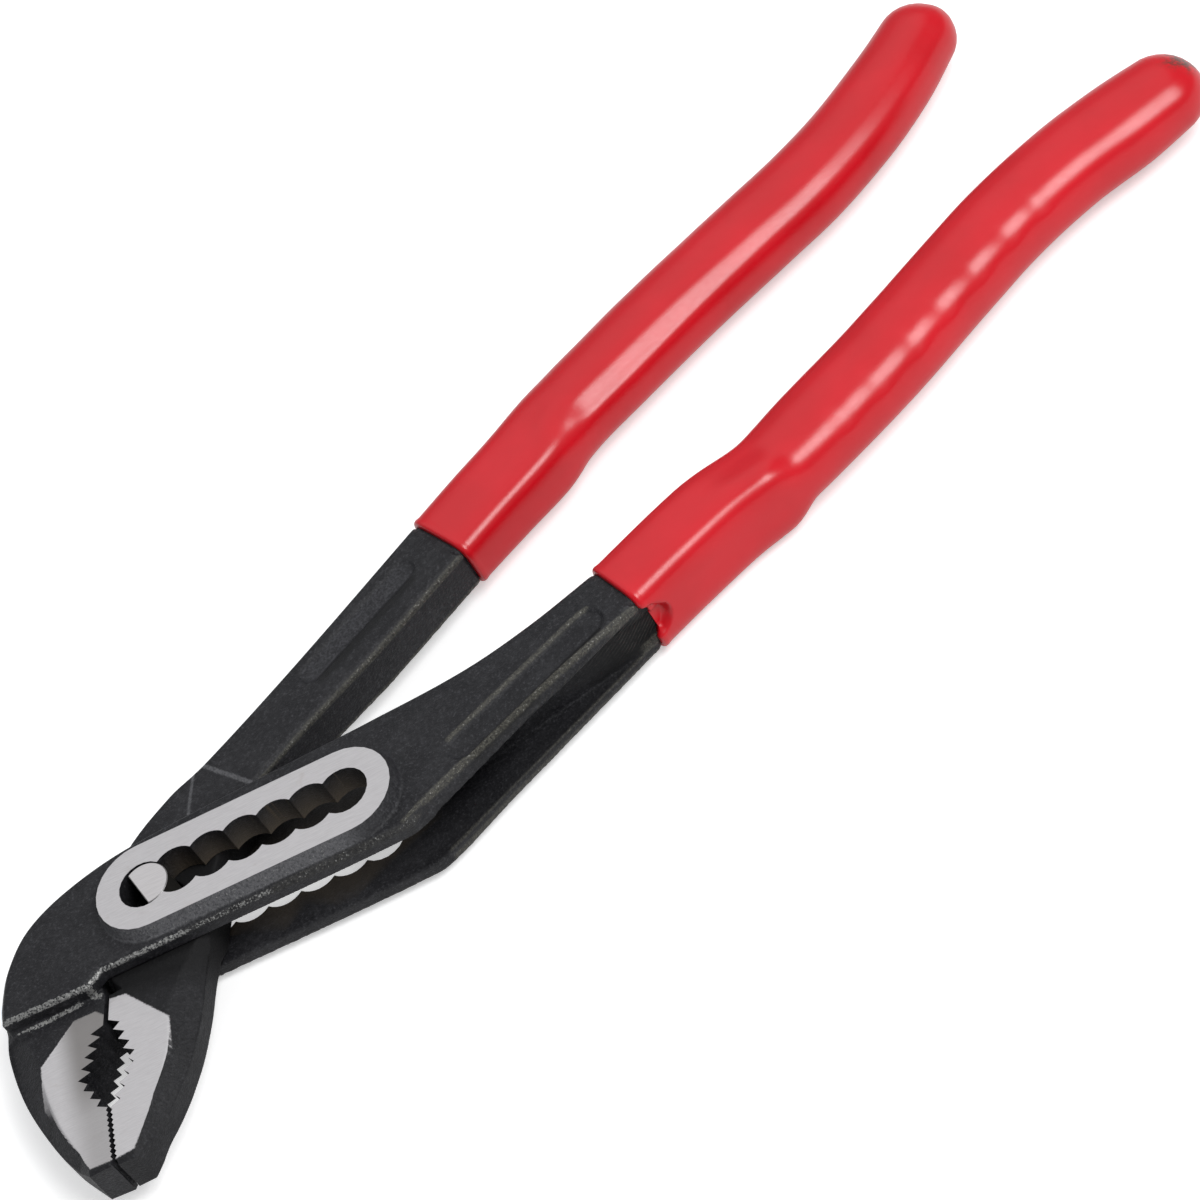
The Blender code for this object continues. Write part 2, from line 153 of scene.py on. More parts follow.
INNER_WEAR = (
    (((19.0, 14.0), (31.0, 21.8), (45.2, 29.9), (64.1, 42.1)), 0.6, 3.2, 6.0, BOTH, 0.3, 0.9),
    (((24.0, 15.6), (31.0, 20.6), (45.2, 28.8), (64.1, 41.0)), 0.9, 0.3, 0.8, FRONT, 0.0, 0.7),
)
WEAR_CORE = 0.5
WEAR_BLEND = 0.2
WEAR_RISE = 0.14
WEAR_LIFT = 0.4
WEAR_GRAIN = 0.5
DUST_RISE = 0.5

# The scoured crease on the inner handle, by distance from its path and by height
CREASE = ((8.0, 15.4), (10.8, 25.0), (19.7, 15.4))
CREASE_HALF = (0.2, 0.45)
CREASE_H = (3.0, 3.2)

# Sunk panels in the handles. On the outer one the lower wall is darkened by painted shade; on the
# inner one, given by its middle line, the floor is lighter and a band below it is darkened by
# painted shade
OUTER_SHADE = ((57.3, -1.9), (82.8, 11.1))
OUTER_SHADE_HALF = (0.35, 0.8)
OUTER_SHADE_H = (5.0, 5.4)
OUTER_SHADE_DARK = 0.9
INNER_PANEL = ((34.0, 32.2), (53.6, 44.2))
PANEL_START = (-3.0, 1.0)
PANEL_END = (-1.0, 2.0)
PANEL_HALF = (1.5, 2.2, 1.0, 0.0)
BAND_START = (1.9, 2.5)
BAND_END = (3.2, 4.6, 1.0, 0.0)
BAND_SHARE = 0.75

# The middle line of the boss round the slot, the least distance of its side wall from that line,
# how bare the wall is and where painted shade darkens it, and where the slot inside turns from
# painted shade to rust
BOSS_LINE = ((PIVOT_U, 0.0), (PIVOT_U + TRAVEL, 0.0))
BOSS_WALL = 6.5
BOSS_WALL_BLEND = 0.3
BOSS_FOOT = 0.2
BOSS_BARE = 0.3
BOSS_END = (33.0, 39.0)
BOSS_END_SHADE = 0.85
BOSS_GRAIN = 0.4
BOSS_RISE = 0.07
BOSS_SKIN = 0.12
SLOT_RIM = (4.9, 5.2)
SLOT_RIM_H = 0.2
RUSTY_U = (2.0, 6.0)

# Painted shade on the fixed jaw's ground flat, by V; painted shade on the tongue and moving jaw of
# the inner lever, by V or -V
FLAT_SHADE_BELOW = -12.5
TONGUE_START = (-22.0, -12.0)
TONGUE_END = 13.0
TONGUE_BLEND = 2.0
TONGUE_SHADE = 0.9
JAW_SHADE_V = (12.0, 20.0)
JAW_SHADE = 0.3
NOT_GROUND = -1.0

# Rows along each grip: U, V, half width, half thickness, power of the section; and the places along
# it between which its neck turns from a rounded rectangle into an oval, on the lower and on the
# upper side
OUTER_GRIP = (
    (87.2, 18.3, 7.0, 7.6, 5.2), (97.0, 23.2, 7.0, 7.6, 5.0), (107.0, 27.8, 7.1, 7.4, 4.0),
    (116.5, 31.5, 7.6, 6.5, 2.6), (126.0, 36.5, 8.2, 6.4, 2.4), (140.0, 44.1, 8.2, 6.4, 2.4),
    (154.0, 52.7, 8.1, 6.4, 2.4), (168.0, 61.1, 8.1, 6.4, 2.4), (181.0, 66.8, 8.1, 6.4, 2.4),
    (192.0, 70.0, 8.2, 6.4, 2.4), (199.8, 72.3, 7.7, 6.0, 2.3),
)
INNER_GRIP = (
    (60.9, 47.7, 7.4, 5.5, 5.0), (70.0, 53.4, 7.5, 5.7, 4.8), (79.5, 59.1, 7.6, 5.9, 3.8),
    (88.0, 65.2, 7.8, 5.9, 2.6), (98.0, 70.7, 8.0, 6.3, 2.4), (112.0, 77.9, 8.0, 6.3, 2.4),
    (126.0, 84.4, 8.0, 6.3, 2.4), (139.0, 90.4, 8.0, 6.2, 2.4), (150.0, 97.1, 7.8, 6.1, 2.4),
    (159.6, 104.8, 7.5, 6.0, 2.4), (167.0, 112.1, 7.1, 5.7, 2.3),
)
OUTER_NECK = ((29.5, 35.5), (18.0, 33.0))
INNER_NECK = ((21.0, 28.0), (22.0, 35.0))
LOWER_SIDE = (-0.3, 0.6)
MOUTH_POWER = 3.8
FIRST_ROUND_ROW = 4

# The sleeve's wall, its pocket, its rolled lip as place and how far in it is, and its domed end
WALL = 0.9
POCKET_SHARP = 1.15
POCKET_SHORT = 0.15
LIP_DRAW = 0.3
LIP_REACH = (0.8, 1.6)
LIP_AT = (0.0, 0.08, 0.22, 0.45, 0.8, 1.6)
LIP_IN = (0.6, 0.3, 0.1, -0.05, -0.1, 0.0)
DOME_TURN = math.radians(83)
DOME_STEPS = 8

# Rings of a grip: points in one, and their places, which are closer together near the mouth. Steps
# along the rows, to measure lengths and directions
GRIP_ROUND = 120
GRIP_TURNS = 2 * math.pi * np.arange(GRIP_ROUND) / GRIP_ROUND
MOUTH_END = 6.0
POCKET_STEP = 0.4
POCKET_RINGS = 30
SKIN_START = 1.2
SKIN_STEP = 0.25
SKIN_RINGS = 130
LENGTH_STEPS = 2001
ROW_STEP = 0.02

# Waves in the dipped coat, and shallow dips across the outer grip's front, which wander and grow
# along it
WAVE = 7.0
WAVE_RISE = 0.05
WAVE_START = (4.0, 12.0)
DIP_FIRST = 45.9
DIP_STEP = 8.3
DIP_COUNT = 7
DIP_HALF = 2.0
DIP_DEPTH = 0.24
DIP_LEAST = 0.8
DIP_GROWTH = 0.1
DIP_FACING = (0.82, 0.98)
DIP_WANDER = 0.8
DIP_GRAIN = 6.0

# The grips are flatter on their upper front: the direction of the flat, the radius it is cut from,
# how softly, and for each grip its depth, below 0 where only the soft part of the cut is left, the
# places between which it starts, those between which it fades, and the share left there
FRONT_FACING = (-0.018, -0.625, 0.780)
FLAT_RADIUS = 7.0
FLAT_BLEND = 0.16
OUTER_FLAT = (-0.12, (34.0, 46.0), (98.0, 118.0), 0.0)
INNER_FLAT = (0.42, (28.0, 34.0), (38.0, 92.0), 0.05)
LEAST_FACING = 0.3
MOST_POWER = 30

# The torn lip of the outer grip: where its arch is in height, how far it reaches along the grip and
# to each side, how far out the thin coat in it stands over the steel, over the groove and inside,
# and how far that is drawn back. A bubble sits beside it, and a scuff at the other end
TEAR_AT = 0.9
TEAR_LONG = 4.4
TEAR_HALF = 3.9
TEAR_EDGE = (0.74, 1.02)
TEAR_SIDE = 3.0
TEAR_STEEL = 6.2
TEAR_GROOVE = 5.2
TEAR_STEP = 0.7
TEAR_INSIDE = 4.6
TEAR_BACK = 1.3
TEAR_BACK_RUN = 3.0
BUBBLE_AT = (1.2, 6.0, 7.2)
BUBBLE_R = 0.9
BUBBLE_RISE = 0.35
SCUFF_AT = (205.0, 74.0, 3.0)
SCUFF_R = 4.5
SCUFF_CORE = 0.4

# Seeds of the random values, and the numbers that mix them
OUTER_ROUGH, BOSS_ROUGH, INNER_ROUGH, OUTER_COAT, INNER_COAT, DIP_PATH = range(1, 7)
SEED_SHIFT = 17.31
SEED_STEP = 7919
CELL_STEPS = np.array((73856093, 19349663, 83492791))
CELL_MIX = 1274126177

# Remeshing
DEPTH = 10
REMESH_SCALE = 0.99
SOFT_TURNS = 5
SAME_POINT = 1e-7
KEEP = 0.22
SHARP = math.radians(32)


def slot_mm(points):
    """Points of the row frame as U, V and W."""
    away = (np.asarray(points) - PIVOT) / MM
    return np.stack((away @ ALONG + PIVOT_U, away @ ACROSS, away @ UP), axis=1)


def row_frame(points):
    """Points given as U, V and W in the row frame."""
    p = np.asarray(points, float)
    return PIVOT + MM * (
        np.outer(p[:, 0] - PIVOT_U, ALONG) + np.outer(p[:, 1], ACROSS) + np.outer(p[:, 2], UP)
    )


def slot_direction(vectors):
    """Directions of the row frame as U, V and W."""
    return np.stack((vectors @ ALONG, vectors @ ACROSS, vectors @ UP), axis=1)


def ease(x, low, high):
    """0 below low, 1 above high, smooth between."""
    t = np.clip((x - low) / (high - low), 0, 1)
    return t * t * (3 - 2 * t)


def grain(points, size, seed):
    """Smooth random values from -1 to 1 that change over about this size."""
    p = points / size + seed * SEED_SHIFT
    cell = np.floor(p).astype(np.int64)
    f = p - cell
    f = f * f * (3 - 2 * f)
    total = np.zeros(len(p))
    for corner in range(8):
        step = np.array((corner & 1, corner >> 1 & 1, corner >> 2 & 1))
        key = (cell + step) @ CELL_STEPS + seed * SEED_STEP
        key = (key ^ (key >> 13)) * CELL_MIX
        value = ((key ^ (key >> 16)) & 0xFFFF) / 32767.5 - 1
        total += value * np.prod(np.where(step, f, 1 - f), axis=1)
    return total


def inside(points, corners):
    """How far inside a convex area each point is, in millimetres; less than 0 outside."""
    found = np.full(len(points), np.inf)
    for (u0, v0), (u1, v1) in zip(corners, corners[1:] + corners[:1]):
        run = np.array((u1 - u0, v1 - v0)) / math.hypot(u1 - u0, v1 - v0)
        found = np.minimum(found, run[0] * (points[:, 1] - v0) - run[1] * (points[:, 0] - u0))
    return found


def near(points, path):
    """Distance in U and V from a path of straight lines."""
    found = np.full(len(points), np.inf)
    for a, b in zip(path, path[1:]):
        a = np.array(a)
        run = np.array(b) - a
        t = np.clip(((points[:, :2] - a) @ run) / (run @ run), 0, 1)
        found = np.minimum(found, np.linalg.norm(points[:, :2] - a - t[:, None] * run, axis=1))
    return found


def wear(mm, rows):
    """How bare and how dusty each point is."""
    bare = np.zeros(len(mm))
    dust = np.zeros(len(mm))
    for path, reach, low, high, sides, bare_part, dust_part in rows:
        across = 1 - ease(near(mm, path), reach * WEAR_CORE, reach)
        for side in sides:
            height = mm[:, 2] * side
            over = ease(height, high, high + WEAR_BLEND)
            share = across * ease(height, low - WEAR_BLEND, low) * (1 - over)
            bare = np.maximum(bare, share * bare_part)
            dust = np.maximum(dust, share * dust_part)
    return bare, dust


def along_edge(mm):
    """Places along the outer handle's lower edge, and how far they are outside it."""
    away = mm[:, :2] - EDGE_START
    return away @ EDGE_RUN, away @ EDGE_OUT


def edge_points(rows):
    """Points given as place along the edge, distance outside it, and height."""
    rows = np.asarray(rows)
    flat = EDGE_START + np.outer(rows[:, 0], EDGE_RUN) + np.outer(rows[:, 1], EDGE_OUT)
    return row_frame(np.column_stack((flat, rows[:, 2])))


def boss_wall(mm):
    """1 on the side wall of the boss."""
    high = ease(np.abs(mm[:, 2]), CHEEK_H, CHEEK_H + BOSS_FOOT)
    return high * ease(near(mm, BOSS_LINE), BOSS_WALL, BOSS_WALL + BOSS_WALL_BLEND)


# Meshes


def apply_modifiers(made):
    graph = bpy.context.evaluated_depsgraph_get()
    data = bpy.data.meshes.new_from_object(made.evaluated_get(graph))
    made.modifiers.clear()
    made.data = data


def mesh_object(name, points, faces):
    data = bpy.data.meshes.new(name)
    data.from_pydata(points, [], faces)
    made = bpy.data.objects.new(name, data)
    bpy.context.scene.collection.objects.link(made)
    return made


def copy_of(node_name, name):
    """A new object with a copy of a CAD node's mesh, in one piece."""
    made = mesh_object(name, [], [])
    mesh = bmesh.new()
    mesh.from_mesh(frame["nodes"][node_name].data)
    bmesh.ops.remove_doubles(mesh, verts=mesh.verts[:], dist=SAME_POINT)
    mesh.to_mesh(made.data)
    mesh.free()
    return made


def places(made):
    found = np.zeros(len(made.data.vertices) * 3)
    made.data.vertices.foreach_get("co", found)
    return found.reshape(-1, 3)


def normals(made):
    found = np.zeros(len(made.data.vertices) * 3)
    made.data.vertex_normals.foreach_get("vector", found)
    return found.reshape(-1, 3)


def move(made, points):
    """Moves the points of a mesh, and keeps them inside the CAD box."""
    points = np.clip(points, *np.array(cad_box))
    made.data.vertices.foreach_set("co", np.asarray(points, np.float32).ravel())
    made.data.update()


def soften(made, share):
    """Rounds edges by moving each point towards its neighbours, by its share."""
    ends = np.zeros(len(made.data.edges) * 2, np.int64)
    made.data.edges.foreach_get("vertices", ends)
    a, b = ends.reshape(-1, 2).T
    points = places(made)
    many = len(points)
    count = np.bincount(a, minlength=many) + np.bincount(b, minlength=many)
    for _ in range(SOFT_TURNS):
        total = np.zeros_like(points)
        for k in range(3):
            total[:, k] = np.bincount(a, points[b, k], many) + np.bincount(b, points[a, k], many)
        points += (share / 2)[:, None] * (total / count[:, None] - points)
    move(made, points)


def remesh(made):
    fine = made.modifiers.new("remesh", "REMESH")
    fine.mode = "SHARP"
    fine.octree_depth = DEPTH
    fine.scale = REMESH_SCALE
    fine.use_remove_disconnected = False
    apply_modifiers(made)


def thin_out(made):
    fewer = made.modifiers.new("thin_out", "DECIMATE")
    fewer.ratio = KEEP
    apply_modifiers(made)


def face_outwards(made):
    mesh = bmesh.new()
    mesh.from_mesh(made.data)
    bmesh.ops.recalc_face_normals(mesh, faces=mesh.faces[:])
    mesh.to_mesh(made.data)
    mesh.free()


def carve(made, rings):
    """Cuts away the closed body through these rings of points."""
    count = len(rings[0])
    faces = [list(range(count)), list(range((len(rings) - 1) * count, len(rings) * count))]
    for k in range((len(rings) - 1) * count):
        beside = k - k % count + (k + 1) % count
        faces.append([k, beside, beside + count, k + count])
    cutter = mesh_object("cutter", [point for ring in rings for point in ring], faces)
    face_outwards(cutter)
    away = made.modifiers.new("away", "BOOLEAN")
    away.object = cutter
    away.operation = "DIFFERENCE"
    away.solver = "EXACT"
    apply_modifiers(made)
    bpy.data.objects.remove(cutter)


def one_skin(made):
    """Leaves out folds of no thickness that hang on the skin by an edge, and closes up the edges
    along which the skin touches itself."""
    mesh = bmesh.new()
    mesh.from_mesh(made.data)
    bmesh.ops.remove_doubles(mesh, verts=mesh.verts[:], dist=SAME_POINT)
    islands = []
    seen = set()
    for start in mesh.faces:
        if start in seen:
            continue
        seen.add(start)
        island = [start]
        for face in island:
            for edge in face.edges:
                if len(edge.link_faces) != 2:
                    continue
                for other in edge.link_faces:
                    if other not in seen:
                        seen.add(other)
                        island.append(other)
        islands.append(island)
    skin = max(islands, key=len)
    folds = [face for island in islands if island is not skin for face in island]
    bmesh.ops.delete(mesh, geom=folds, context="FACES")
    bmesh.ops.collapse(mesh, edges=[edge for edge in mesh.edges if len(edge.link_faces) > 2])
    mesh.to_mesh(made.data)
    mesh.free()


def attribute(made, name, values):
    layer = made.data.attributes.new(name, "FLOAT", "POINT")
    layer.data.foreach_set("value", np.asarray(values, np.float32))


def smooth(made):
    made.data.polygons.foreach_set("use_smooth", np.ones(len(made.data.polygons), bool))


# Materials: colours, some of them a pair to mix
PAINT = ((0.012, 0.012, 0.014, 1), (0.021, 0.021, 0.0235, 1))
PAINT_SPECK = (0.050, 0.050, 0.055, 1)
PIT = (0.006, 0.006, 0.0075, 1)
SCOURED = (0.115, 0.115, 0.122, 1)
PANEL_FLOOR = (0.052, 0.052, 0.058, 1)
# painted shade for the band below the inner panel
PANEL_PAINTED_SHADE = (0.004, 0.004, 0.0045, 1)
# painted shade, mixed in where the attribute deep is high
PAINTED_SHADE = (0.003, 0.003, 0.0033, 1)
HATCH = (0.028, 0.027, 0.025, 1)
RUST = (0.056, 0.045, 0.033, 1)
DUST = (0.075, 0.072, 0.060, 1)
ROUGH_STEEL = (0.36, 0.36, 0.35, 1)
STEEL = ((0.56, 0.545, 0.555, 1), (0.66, 0.645, 0.655, 1))
STEEL_TINT = (0.42, 0.36, 0.32, 1)
# painted shade for the ground flat of the fixed jaw
STEEL_PAINTED_SHADE = (0.27, 0.258, 0.252, 1)
PIN_STEEL = ((0.58, 0.56, 0.565, 1), (0.68, 0.66, 0.665, 1))
PIN_SIDE = (0.016, 0.015, 0.013, 1)
RED = ((0.545, 0.003, 0.010, 1), (0.61, 0.004, 0.013, 1))
SCUFF = (0.10, 0.035, 0.025, 1)
WHITE = ((0.80, 0.80, 0.80, 1), (0.84, 0.84, 0.84, 1))

# Noises: scale, detail and roughness; and how the lines in ground steel are stretched and turned
MOTTLE = (0.16, 4.0, 0.6)
FINE = (2.4, 3.0, 0.6)
PITS = (1.1, 4.0, 0.7)
FLECKS = (2.6, 3.0, 0.7)
LINES = (1.0, 3.0, 0.65)
TINT = (0.22, 3.0, 0.6)
RED_CLOUD = (0.08, 3.0, 0.5)
RED_SPECK = (1.6, 2.0, 0.5)
SCUFF_SPECK = (0.7, 4.0, 0.7)
WHITE_CLOUD = (6.0, 3.0, 0.5)
STEEL_STRETCH = (0.35, 6.0, 1.0)
PIN_STRETCH = (0.35, 5.0, 1.0)
LINES_TURN = math.radians(-20)

# Changes of noises, masks and places
MIDDLE = (0.3, 0.7)
PAINT_RANGE = (0.35, 0.68)
SPECK_RANGE = (0.48, 0.74)
PIT_RANGE = (0.38, 0.58, 0.6, 0.0)
SCOUR_RANGE = (0.3, 0.6, 0.45, 1.0)
PANEL_RANGE = (0.35, 0.65, 0.1, 0.7)
HATCH_RANGE = (0.1, 1.0)
HATCH_GAPS = (0.3, 0.6)
DUST_RANGE = (0.3, 0.65, 0.15, 1.0)
BARE_RANGE = (1.36, 1.66)
BARE_FLECKS = 1.8
TINT_RANGE = (0.6, 0.8, 0.0, 0.35)
# the painted shade on the fixed jaw's flat, by U and by V
FLAT_SHADE_U = (-22.5, -17.5)
FLAT_SHADE_V = (-36.0, -27.0, 0.5, 0.95)
JAW_FLECKS = (0.2, 0.8, -0.12, 0.12)
JAW_RANGE = (-0.12, 0.12)
GROUND_RANGE = (-0.05, 0.08)
LEVEL_RANGE = (0.85, 0.92)
PIN_END_RANGE = (0.6, 0.9)
SCUFF_RANGE = (0.4, 0.6)

# Roughness, reflection and bump
PAINT_DULL = (0.3, 0.7, 0.40, 0.54)
STEEL_DULL = (0.3, 0.7, 0.34, 0.46)
RED_DULL = (0.3, 0.7, 0.29, 0.33)
PAINTED_SHADE_DULL = 0.72
FLOOR_DULL = 0.8
PAINT_SPECULAR = 0.26
RED_SPECULAR = 0.48
PAINT_BUMP = 0.85
RED_BUMP = 0.012
BUMP_DEPTH = 0.0003
HEIGHT_SHARE = 0.5
LINES_HEIGHT = 0.12


def put(tree, socket, value):
    """Links a socket to an input, or sets the input to a number or colour; None leaves it."""
    if isinstance(value, bpy.types.NodeSocket):
        tree.links.new(value, socket)
    elif value is not None:
        socket.default_value = value


def node(tree, kind, *values, **settings):
    """A node with its inputs in order."""
    made = tree.nodes.new(kind)
    for key, value in settings.items():
        setattr(made, key, value)
    for socket, value in zip(made.inputs, values):
        put(tree, socket, value)
    return made


def maths(tree, operation, *values):
    return node(tree, "ShaderNodeMath", *values, operation=operation).outputs[0]


def times(tree, first, second):
    return maths(tree, "MULTIPLY", first, second)


def dotted(tree, place, way):
    """How far the place is along a direction."""
    made = node(tree, "ShaderNodeVectorMath", place, tuple(way), operation="DOT_PRODUCT")
    return made.outputs["Value"]


def mapped(tree, value, low, high, to_low=0.0, to_high=1.0):
    made = node(
        tree, "ShaderNodeMapRange", value, low, high, to_low, to_high,
        interpolation_type="SMOOTHSTEP",
    )
    return made.outputs[0]


def mixed(tree, share, first, second):
    """A mix of two colours."""
    made = tree.nodes.new("ShaderNodeMix")
    made.data_type = "RGBA"
    for name, value in (("Factor_Float", share), ("A_Color", first), ("B_Color", second)):
        put(tree, next(s for s in made.inputs if s.identifier == name), value)
    return next(s for s in made.outputs if s.identifier == "Result_Color")


def mixed_value(tree, share, first, second):
    """A mix of two numbers."""
    made = tree.nodes.new("ShaderNodeMix")
    sockets = (made.inputs[0], made.inputs[2], made.inputs[3])
    for socket, value in zip(sockets, (share, first, second)):
        put(tree, socket, value)
    return made.outputs[0]


def material(name):
    made = bpy.data.materials.new(name)
    made.use_nodes = True
    return made, made.node_tree, made.node_tree.nodes["Principled BSDF"]


def where(tree):
    """The place on the piece in millimetres of the slot frame."""
    turn = math.atan2(ALONG[1], ALONG[0])
    start = Matrix.Rotation(-turn, 4, "Z") @ Vector(PIVOT / MM)
    coordinates = tree.nodes.new("ShaderNodeTexCoord")
    mapping = node(
        tree, "ShaderNodeMapping", coordinates.outputs["Object"],
        (PIVOT_U - start.x, -start.y, -start.z), (0.0, 0.0, -turn), (1 / MM, 1 / MM, 1 / MM),
    )
    return mapping.outputs[0]


def noise(tree, place, scale, detail, roughness, stretch=None, turn=0.0):
    if stretch:
        place = node(tree, "ShaderNodeMapping", place, None, (0.0, 0.0, turn), stretch).outputs[0]
    made = tree.nodes.new("ShaderNodeTexNoise")
    put(tree, made.inputs["Vector"], place)
    put(tree, made.inputs["Scale"], scale)
    put(tree, made.inputs["Detail"], detail)
    put(tree, made.inputs["Roughness"], roughness)
    return made.outputs[0]


def painted(tree, name):
    """The value of an attribute of the mesh."""
    return node(tree, "ShaderNodeAttribute", attribute_name=name).outputs["Fac"]


def levelness(tree):
    """1 on faces that look straight up or down, 0 on upright ones."""
    facing = tree.nodes.new("ShaderNodeNewGeometry").outputs["True Normal"]
    return maths(tree, "ABSOLUTE", node(tree, "ShaderNodeSeparateXYZ", facing).outputs["Z"])


def bumpy(tree, shader, strength, height):
    bump = node(tree, "ShaderNodeBump", strength, BUMP_DEPTH)
    put(tree, bump.inputs["Height"], height)
    put(tree, shader.inputs["Normal"], bump.outputs[0])


def inside_corners(tree, place, corners):
    """How far inside a convex area the place is, in millimetres."""
    found = None
    for (u0, v0), (u1, v1) in zip(corners, corners[1:] + corners[:1]):
        across = np.array((v0 - v1, u1 - u0, 0.0)) / math.hypot(u1 - u0, v1 - v0)
        side = float(across @ (u0, v0, 0.0))
        inwards = maths(tree, "SUBTRACT", dotted(tree, place, across), side)
        found = inwards if found is None else maths(tree, "MINIMUM", found, inwards)
    return found


def panel_marks(tree, place, panel):
    """1 on the floor of a sunk panel, and 1 on the band below it, which gets painted shade."""
    start, end = (np.array((*point, 0.0)) for point in panel)
    long = np.linalg.norm(end - start)
    run = (end - start) / long
    down = np.array((run[1], -run[0], 0.0))
    along, out = (
        maths(tree, "SUBTRACT", dotted(tree, place, way), float(way @ start)) for way in (run, down)
    )
    ended = mapped(tree, along, long + PANEL_END[0], long + PANEL_END[1], 1.0, 0.0)
    beside = times(tree, mapped(tree, along, *PANEL_START), ended)
    middle = mapped(tree, maths(tree, "ABSOLUTE", out), *PANEL_HALF)
    below = times(tree, mapped(tree, out, *BAND_START), mapped(tree, out, *BAND_END))
    return times(tree, middle, beside), times(tree, below, beside)


def black_and_bare(name, flat, panel=None):
    """Blackened forged steel, with bare ground steel where the attribute ground is above 0 and
    inside the flat of the jaw, and rough bare edges where the attribute worn is high."""
    made, tree, shader = material(name)
    place = where(tree)
    mottle = noise(tree, place, *MOTTLE)
    fine = noise(tree, place, *FINE)
    pits = noise(tree, place, *PITS)
    flecks = noise(tree, place, *FLECKS)
    deep = painted(tree, "deep")

    black = mixed(tree, mapped(tree, mottle, *PAINT_RANGE), *PAINT)
    black = mixed(tree, mapped(tree, fine, *SPECK_RANGE), black, PAINT_SPECK)
    black = mixed(tree, mapped(tree, pits, *PIT_RANGE), black, PIT)
    scoured = times(tree, painted(tree, "scoured"), mapped(tree, fine, *SCOUR_RANGE))
    black = mixed(tree, scoured, black, SCOURED)
    if panel:
        middle, below = panel_marks(tree, place, panel)
        middle = times(tree, middle, mapped(tree, fine, *PANEL_RANGE))
        black = mixed(tree, middle, black, PANEL_FLOOR)
        # painted shade on the band below the inner panel
        black = mixed(tree, times(tree, below, BAND_SHARE), black, PANEL_PAINTED_SHADE)
    # painted shade: darker where the attribute deep is high
    black = mixed(tree, deep, black, PAINTED_SHADE)

    ways = np.append(EDGE_RUN * math.sin(MILLING_TURN), -math.cos(MILLING_TURN))
    across = dotted(tree, place, 2 * math.pi / MILLING * ways)
    across = maths(tree, "ADD", across, times(tree, mottle, MILLING_WAVER))
    hatch = mapped(tree, maths(tree, "SINE", across), *HATCH_RANGE)
    hatch = times(tree, hatch, painted(tree, "milled"))
    hatch = times(tree, hatch, mapped(tree, pits, *HATCH_GAPS))
    black = mixed(tree, hatch, black, HATCH)
    black = mixed(tree, painted(tree, "rusty"), black, RUST)
    dust = times(tree, painted(tree, "dusty"), mapped(tree, flecks, *DUST_RANGE))
    black = mixed(tree, dust, black, DUST)

    lines = noise(tree, place, *LINES, STEEL_STRETCH, LINES_TURN)
    tint = noise(tree, place, *TINT)
    steel = mixed(tree, mapped(tree, lines, *MIDDLE), *STEEL)
    steel = mixed(tree, mapped(tree, tint, *TINT_RANGE), steel, STEEL_TINT)
    # painted shade on the fixed jaw's ground flat, by U and V
    at = node(tree, "ShaderNodeSeparateXYZ", place)
    dim = times(tree, painted(tree, "dim"), mapped(tree, at.outputs["X"], *FLAT_SHADE_U))
    dim = times(tree, dim, mapped(tree, at.outputs["Y"], *FLAT_SHADE_V))
    steel = mixed(tree, dim, steel, STEEL_PAINTED_SHADE)

    jaw = maths(tree, "ADD", inside_corners(tree, place, flat), mapped(tree, flecks, *JAW_FLECKS))
    ground = mapped(tree, painted(tree, "ground"), *GROUND_RANGE)
    bare = maths(tree, "MAXIMUM", ground, mapped(tree, jaw, *JAW_RANGE))
    is_ground = times(tree, bare, mapped(tree, levelness(tree), *LEVEL_RANGE))
    rough_bare = maths(tree, "ADD", painted(tree, "worn"), times(tree, flecks, BARE_FLECKS))
    rough_bare = mapped(tree, rough_bare, *BARE_RANGE)
    colour = mixed(tree, rough_bare, black, ROUGH_STEEL)
    put(tree, shader.inputs["Base Color"], mixed(tree, is_ground, colour, steel))
    put(tree, shader.inputs["Specular IOR Level"], PAINT_SPECULAR)
    put(tree, shader.inputs["Metallic"], maths(tree, "MAXIMUM", is_ground, rough_bare))
    dull = mixed_value(tree, deep, mapped(tree, fine, *PAINT_DULL), PAINTED_SHADE_DULL)
    dull = mixed_value(tree, is_ground, dull, mapped(tree, lines, *STEEL_DULL))
    put(tree, shader.inputs["Roughness"], dull)

    height = maths(tree, "ADD", times(tree, fine, HEIGHT_SHARE), times(tree, flecks, HEIGHT_SHARE))
    height = mixed_value(tree, is_ground, height, times(tree, lines, LINES_HEIGHT))
    bumpy(tree, shader, PAINT_BUMP, height)
    return made


def bright():
    """Pin steel: its two ends are ground bare, its side is dark."""
    made, tree, shader = material("ground_pin_steel")
    lines = noise(tree, where(tree), *LINES, PIN_STRETCH, LINES_TURN)
    end = mapped(tree, levelness(tree), *PIN_END_RANGE)
    steel = mixed(tree, mapped(tree, lines, *MIDDLE), *PIN_STEEL)
    put(tree, shader.inputs["Base Color"], mixed(tree, end, PIN_SIDE, steel))
    put(tree, shader.inputs["Metallic"], end)
    put(tree, shader.inputs["Roughness"], mapped(tree, lines, *STEEL_DULL))
    return made


def vinyl():
    made, tree, shader = material("dipped_red_vinyl")
    place = where(tree)
    cloud = noise(tree, place, *RED_CLOUD)
    speck = noise(tree, place, *RED_SPECK)
    red = mixed(tree, mapped(tree, cloud, *MIDDLE), *RED)
    scuffed = mapped(tree, noise(tree, place, *SCUFF_SPECK), *SCUFF_RANGE)
    red = mixed(tree, times(tree, painted(tree, "scuffed"), scuffed), red, SCUFF)
    put(tree, shader.inputs["Base Color"], red)
    put(tree, shader.inputs["Roughness"], mapped(tree, speck, *RED_DULL))
    put(tree, shader.inputs["Specular IOR Level"], RED_SPECULAR)
    bumpy(tree, shader, RED_BUMP, speck)
    return made


# Levers


